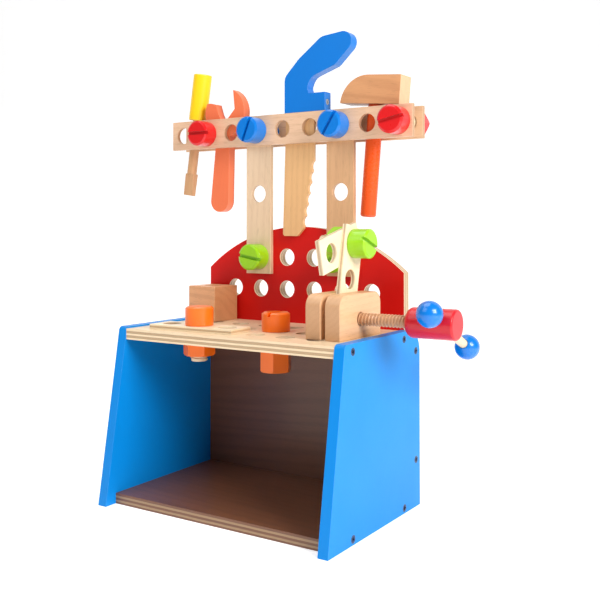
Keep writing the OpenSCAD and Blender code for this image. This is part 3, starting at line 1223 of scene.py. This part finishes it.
@dataclass
class Fasteners:
    """Toy bolts with painted slotted heads and bare threaded shanks, and their painted nuts."""

    head_r: float = 12.25 * MM
    head_h: float = 16.5 * MM
    edge: float = 1.7 * MM
    slot_w: float = 3.2 * MM
    slot_d: float = 3.4 * MM
    shank_r: float = 7.6 * MM
    pitch: float = 3.6 * MM
    rib: float = 0.62 * MM
    short: float = 30.5
    long: float = 42.0
    pitch_of_holes: float = 30.0
    rack_y: float = -8.4
    rack_z: float = 331.0
    upright_y: float = -4.2
    board_row_z: float = 211.0
    table_z: float = 150.0
    table_rows: tuple[float, float] = (-92.0, -62.0)
    strip_t: float = 4.2
    plank_x: float = 84.2
    plank_foot: tuple[float, float] = (-60.3, 167.0)
    plank_lean: float = 11.8

    def head(self) -> bpy.types.Mesh:
        """Makes a slotted head that stands on z = 0.

        Returns:
            The head's mesh.
        """
        r, h, e = self.head_r, self.head_h, self.edge
        foot = 0.7 * MM
        outline = [(0.0, 0.0)]
        outline += arc((r - foot, foot), foot, -90, 0, 4)
        outline += [(r, h * 0.5), (r, h - e)]
        outline += arc((r - 0.45 * e, h - e), 0.45 * e, 0, 40, 4)
        outline += arc((r - e - 0.2 * e, h - 0.35 * e), 0.35 * e, 52, 90, 4)
        outline += [(r * 0.5, h), (0.0, h)]
        body = lathed(outline, 96)
        cutter = box_mesh(
            (-r * 1.2, -self.slot_w / 2, h - self.slot_d), (r * 1.2, self.slot_w / 2, h * 1.3)
        )
        return cut_away(body, cutter, 0.35 * MM)

    def shank(self, length: float, finish: Finish) -> bpy.types.Mesh:
        """Makes a threaded shank that reaches down from z = 0.

        Args:
            length: Its length in millimetres.
            finish: Its finish.

        Returns:
            The shank's mesh.
        """
        tree = thread_tree(self.shank_r, self.rib, self.pitch, length * MM)
        mesh = tree.mesh(finish)
        mesh.transform(Matrix.Translation((0.0, 0.0, -length * MM)))
        return mesh

    def specs(self) -> list[BoltSpec]:
        """The bolts, with their places in the workbench.

        Returns:
            One entry for each bolt.
        """
        front = (90.0, 0.0, 0.0)
        red = paint("red_gloss", RED, roughness=0.3, coat=0.4)
        blue = paint("royal_blue_gloss", ROYAL, roughness=0.3, coat=0.4)
        green = paint("lime_gloss", GREEN, roughness=0.32, coat=0.35)
        orange = paint("orange_gloss", ORANGE, roughness=0.34, coat=0.3)
        outer, inner = 3.5 * self.pitch_of_holes, 1.5 * self.pitch_of_holes
        lean, reach = math.radians(self.plank_lean), 2 * self.pitch_of_holes
        pivot_y = self.plank_foot[0] + reach * math.sin(lean)
        pivot_z = self.plank_foot[1] + reach * math.cos(lean)
        rack, foot = (self.rack_y, self.rack_z), (self.upright_y, self.board_row_z)
        rows = [
            ("red", "left", (-outer, *rack), 0.0, self.long, red),
            ("red", "right", (outer, *rack), 11.5, self.long, red),
            ("blue", "left", (-inner, *rack), 68.0, self.short, blue),
            ("blue", "right", (inner, *rack), 58.0, self.short, blue),
            ("green", "left", (-inner, *foot), -10.0, self.short, green),
            ("green", "right", (inner, *foot), 35.0, self.short, green),
        ]
        made = []
        for tone, where, origin, spin, length, finish in rows:
            slot = "royal_blue_paint" if tone == "blue" else f"{tone}_paint"
            names = (f"{tone}_bolt_{where}", f"{tone}_nut_{where}", f"{tone}_fastener_{where}")
            made.append(BoltSpec(*names, Place(origin, front, spin), length, finish, slot))
        strip_top = self.table_z + self.strip_t
        flat = (0.0, 0.0, 0.0)
        made += [
            BoltSpec(
                "orange_bolt_left",
                "orange_nut",
                "orange_fastener_left",
                Place((-inner, self.table_rows[0], strip_top), flat, 30.0),
                self.short,
                orange,
                "orange_paint",
            ),
            BoltSpec(
                "orange_bolt_middle",
                "orange_tall_nut",
                "orange_fastener_middle",
                Place((0.5 * self.pitch_of_holes, self.table_rows[1], self.table_z), flat, 95.0),
                self.short,
                orange,
                "orange_paint",
            ),
            BoltSpec(
                "plank_bolt",
                "plank_nut",
                "plank_fastener",
                Place((self.plank_x, pivot_y, pivot_z), (90.0, 0.0, 90.0), -22.0),
                self.short,
                green,
                "green_paint",
            ),
        ]
        return made

    def build(self) -> None:
        """Builds every bolt and nut."""
        bare = Wood("bolt_beech", PALE_LIGHT, PALE_DARK, contrast=0.3)
        head = self.head()
        shanks = {length: self.shank(length, bare) for length in (self.short, self.long)}
        for spec in self.specs():
            add_piece(
                spec.bolt + "_head",
                head.copy(),
                [spec.finish],
                spec.body,
                [spec.bolt],
                spec.place,
            )
            shank = shanks[spec.length].copy()
            add_piece(spec.bolt + "_shank", shank, [bare], spec.body, (), spec.place)
            nut = eased_copy(spec.nut, 0.7 * MM, 3, 22.0)
            add_piece(spec.nut + "_hex", nut, [spec.finish], spec.body, [spec.nut])


@dataclass
class Vice:
    """Two beech jaws, a threaded screw, its knob and the bar with two balls."""

    axis_y: float = -61.5
    axis_z: float = 165.2
    screw_r: float = 5.25 * MM
    screw_start: float = 72.3
    screw_end: float = 153.0
    pitch: float = 3.0 * MM
    ball_r: float = 10.3 * MM
    bore_r: float = 3.72 * MM
    bore_deep: float = 6.2 * MM
    bar_x: float = 168.0
    bar_tilt: float = 24.3
    near: float = 22.5
    far: float = 57.0

    def jaws(self) -> None:
        """Builds both jaws."""
        for number, (node, body) in enumerate((("fixed_jaw", "stand"), ("moving_jaw", "vice_jaw"))):
            finish = Wood(
                node + "_beech",
                (0.8, 0.48, 0.26),
                (0.6, 0.31, 0.15),
                Axis.Y.value,
                heart=(0.11 + 0.05 * number, 0.3, -0.42),
                ring=0.0032,
                contrast=0.4,
            )
            mesh = eased_copy(node, 1.1 * MM, 3)
            add_piece(node + "_wood", mesh, [finish], body, [node])

    def screw(self) -> None:
        """Builds the threaded screw."""
        finish = Wood("screw_beech", (0.66, 0.36, 0.19), (0.46, 0.22, 0.1), Axis.X.value)
        length = (self.screw_end - self.screw_start) * MM
        mesh = thread_tree(self.screw_r, 0.78 * MM, self.pitch, length).mesh(finish)
        place = Place((self.screw_start, self.axis_y, self.axis_z), (0.0, 90.0, 0.0))
        add_piece("vice_thread", mesh, [finish], "vice_spindle", ["vice_screw"], place)

    def knob(self) -> None:
        """Builds the painted knob."""
        finish = paint("knob_red", (0.66, 0.01, 0.02), grain=Axis.X.value, roughness=0.33)
        mesh = eased_copy("vice_knob", 0.4 * MM, 2, 40.0)
        add_piece("vice_knob_turned", mesh, [finish], "vice_spindle", ["vice_knob"])

    def bar(self) -> None:
        """Builds the bar and its balls."""
        way = (0.0, math.cos(math.radians(self.bar_tilt)), -math.sin(math.radians(self.bar_tilt)))
        bare = Wood("bar_beech", PALE_LIGHT, PALE_DARK, way, contrast=0.3)
        mesh = eased_copy("sliding_bar", 0.4 * MM)
        add_piece("bar_dowel", mesh, [bare], "vice_bar", ["sliding_bar"])
        blue = paint("ball_blue", ROYAL, roughness=0.26, coat=0.55)
        r, bore, soft = self.ball_r, self.bore_r, 0.4 * MM
        rim = math.degrees(math.acos((bore + soft) / r))
        outline = arc((0.0, 0.0), r, -90, rim, 44)
        outline[0] = (0.0, -r)
        top = r * math.sin(math.radians(rim))
        outline += [(bore, top - soft), (bore, -self.bore_deep), (0.0, -self.bore_deep)]
        ball = lathed(outline, 80)
        for node, offset, flip in (("ball_front", -self.near, 0.0), ("ball_rear", self.far, 180.0)):
            middle = Vector((self.bar_x, self.axis_y, self.axis_z)) + Vector(way) * offset
            place = Place(tuple(middle), (-90.0 - self.bar_tilt + flip, 0.0, 0.0))
            add_piece(
                node + "_turned", ball.copy(), [blue], "vice_bar", [node], place
            )

    def build(self) -> None:
        """Builds the vice."""
        self.jaws()
        self.screw()
        self.knob()
        self.bar()


@dataclass
class LooseWood:
    """Planks, the strip on the table and the wooden block."""

    strip_t: float = 4.2 * MM
    table_z: float = 150.0 * MM
    long_plank_x: float = 80.1 * MM
    short_plank_x: float = 75.8 * MM

    def build(self) -> None:
        """Builds the loose wooden pieces."""
        rows = [
            ("table_strip", "loose_strip", Axis.X, Axis.Z, self.table_z),
            ("plank_long", "standing_plank", Axis.Z, Axis.X, self.long_plank_x),
            ("plank_short", "pivoting_plank", Axis.Y, Axis.X, self.short_plank_x),
        ]
        for node, body, grain, through, start in rows:
            finish = Ply(
                node + "_plywood",
                (0.93, 0.79, 0.56),
                (0.78, 0.58, 0.34),
                grain.value,
                contrast=0.3,
                through=through.value,
                start=start,
                thickness=self.strip_t,
                layers=3,
                cross=(0.56, 0.36, 0.2),
            )
            mesh = eased_copy(node, 0.4 * MM)
            add_piece(node + "_slat", mesh, [finish], body, [node])
        cube = Wood(
            "block_beech",
            (0.8, 0.4, 0.19),
            (0.55, 0.24, 0.1),
            Axis.X.value,
            heart=(0.09, 0.05, -0.12),
            ring=0.0048,
            contrast=0.75,
        )
        mesh = eased_copy("block", 1.0 * MM, 3)
        add_piece("block_cube", mesh, [cube], "loose_block", ["block"])


@dataclass
class Tools:
    """Screwdriver, wrench, saw and hammer that hang in the rack."""

    driver_lean: float = 8.2
    hammer_lean: float = 4.8
    wrench_lean: float = 6.6

    def screwdriver(self) -> None:
        """Builds the screwdriver."""
        grain = Axis.Z.leaning(self.driver_lean)
        yellow = paint("yellow_gloss", YELLOW, grain=grain, roughness=0.32, coat=0.35)
        bare = Wood("driver_beech", (0.62, 0.34, 0.16), (0.44, 0.21, 0.09), grain)
        for node, finish, slot in (
            ("screwdriver_handle", yellow, "yellow_paint"),
            ("screwdriver_shaft", bare, "beech"),
        ):
            mesh = eased_copy(node, 0.5 * MM)
            add_piece(node + "_turned", mesh, [finish], "screwdriver", [node])

    def wrench(self) -> None:
        """Builds the wrench."""
        grain = Axis.Z.leaning(self.wrench_lean)
        finish = paint("salmon_satin", SALMON, grain=grain, roughness=0.42, coat=0.2)
        mesh = eased_copy("wrench", 0.8 * MM, 3)
        add_piece("wrench_cutout", mesh, [finish], "wrench", ["wrench"])

    def saw(self) -> None:
        """Builds the saw."""
        blue = paint("saw_blue", ROYAL, roughness=0.36, coat=0.3)
        bare = Wood("saw_beech", (0.77, 0.45, 0.2), (0.58, 0.3, 0.12), contrast=0.45)
        zinc = Zinc("saw_zinc", (0.42, 0.43, 0.45))
        rows = [
            ("saw_handle", blue, "royal_blue_paint", 1.0 * MM, 3),
            ("saw_blade", bare, "beech", 0.45 * MM, 2),
            ("saw_pin", zinc, "dark_screws", 0.25 * MM, 2),
        ]
        for node, finish, slot, ease, segments in rows:
            mesh = eased_copy(node, ease, segments)
            add_piece(node + "_part", mesh, [finish], "saw", [node])

    def hammer(self) -> None:
        """Builds the hammer."""
        across = Axis.X.leaning(self.hammer_lean)
        bare = Wood(
            "hammer_beech",
            (0.65, 0.31, 0.135),
            (0.46, 0.19, 0.075),
            across,
            heart=(0.2, 0.08, -0.31),
            contrast=0.7,
            # Light end-grain colour: painted light, the key lamp's light on the head's right end
            # face; both end faces get it.
            ends=(0.84, 0.56, 0.36),
        )
        grip = paint(
            "hammer_orange",
            (0.78, 0.085, 0.008),
            grain=Axis.Z.leaning(self.hammer_lean),
            roughness=0.28,
        )
        mesh = eased_copy("hammer_head", 0.9 * MM, 3)
        add_piece("hammer_head_wood", mesh, [bare], "hammer", ["hammer_head"])
        mesh = eased_copy("hammer_handle", 0.5 * MM)
        add_piece("hammer_grip", mesh, [grip], "hammer", ["hammer_handle"])

    def build(self) -> None:
        """Builds the four tools."""
        self.screwdriver()
        self.wrench()
        self.saw()
        self.hammer()


@dataclass(frozen=True)
class Lamp:
    """A soft square light."""

    name: str
    at: Triple
    size: float
    watts: float
    colour: Triple


@dataclass
class Studio:
    """Pale floor, soft lights and the camera."""

    eye: Triple = (0.4432, -0.6833, 0.2407)
    way: Triple = (-0.5445, 0.8385, 0.0192)
    lens: float = 52.5
    shift_y: float = -0.152
    reach: float = 8.0
    back: float = 2.6
    bend: float = 1.6
    world: float = 0.16
    floor_glow: float = 0.5
    target: Triple = (0.0, -0.05, 0.2)
    lamps: tuple[Lamp, ...] = (
        Lamp("key", (1.5, -0.5, 0.95), 0.8, 32.0, (1.0, 0.98, 0.95)),
        Lamp("fill", (-0.6, -1.5, 1.6), 1.2, 10.5, (0.97, 0.98, 1.0)),
        Lamp("top", (-0.3, -0.1, 1.7), 1.0, 10.0, (1.0, 1.0, 1.0)),
    )

    def floor(self) -> None:
        """Builds the floor."""
        shader = Shader("studio_floor")
        cloud = shader.noise(shader.place, 3.0, 3.0)
        colour = shader.mix(cloud, (0.9, 0.9, 0.9), (0.93, 0.93, 0.93))
        shader.surface(
            Base_Color=colour,
            Roughness=0.7,
            Emission_Color=colour,
            Emission_Strength=self.floor_glow,
        )
        side, back, bend = self.reach, self.back, self.bend
        line = [(-side, -0.0002), (back - bend, -0.0002)]
        line += arc((back - bend, bend), bend, -90, 0, 24)[1:]
        line += [(back, side)]
        turn = Matrix.Rotation(math.atan2(-self.way[0], self.way[1]), 4, "Z")
        points = [turn @ Vector((x, y, z)) for y, z in line for x in (-side, side)]
        faces = [(2 * k, 2 * k + 1, 2 * k + 3, 2 * k + 2) for k in range(len(line) - 1)]
        mesh = bpy.data.meshes.new("backdrop")
        mesh.from_pydata(points, [], faces)
        mesh.polygons.foreach_set("use_smooth", [True] * len(faces))
        mesh.materials.append(shader.material)
        linked("backdrop", mesh)

    def light(self, lamp: Lamp) -> None:
        """Adds a light that shines at the workbench.

        Args:
            lamp: The light to add.
        """
        data = bpy.data.lights.new(lamp.name, "AREA")
        data.shape = "SQUARE"
        data.size = lamp.size
        data.energy = lamp.watts
        data.color = lamp.colour
        holder = bpy.data.objects.new(lamp.name, data)
        holder.location = lamp.at
        aim = Vector(self.target) - Vector(lamp.at)
        holder.rotation_euler = aim.to_track_quat("-Z", "Y").to_euler()
        bpy.context.scene.collection.objects.link(holder)

    def camera(self) -> None:
        """Places the camera."""
        lens = bpy.data.cameras.new("camera")
        lens.sensor_width = 36.0
        lens.lens = self.lens
        lens.shift_y = self.shift_y
        lens.clip_start = 0.01
        holder = bpy.data.objects.new("camera", lens)
        holder.location = self.eye
        holder.rotation_euler = Vector(self.way).to_track_quat("-Z", "Y").to_euler()
        bpy.context.scene.collection.objects.link(holder)
        bpy.context.scene.camera = holder

    def build(self) -> None:
        """Builds the stage."""
        self.floor()
        for lamp in self.lamps:
            self.light(lamp)
        self.camera()
        scene = bpy.context.scene
        scene.view_settings.view_transform = "Standard"
        world = bpy.data.worlds.new("studio")
        world.use_nodes = True
        back = world.node_tree.nodes["Background"]
        back.inputs["Color"].default_value = (1.0, 1.0, 1.0, 1.0)
        back.inputs["Strength"].default_value = self.world
        scene.world = world


def main() -> None:
    """Builds the workbench and its stage in order."""
    logging.basicConfig(level=logging.INFO, format="%(name)s %(message)s")
    Stand().build()
    Rack().build()
    Fasteners().build()
    Vice().build()
    LooseWood().build()
    Tools().build()
    Studio().build()


if __name__ == "__main__":
    main()
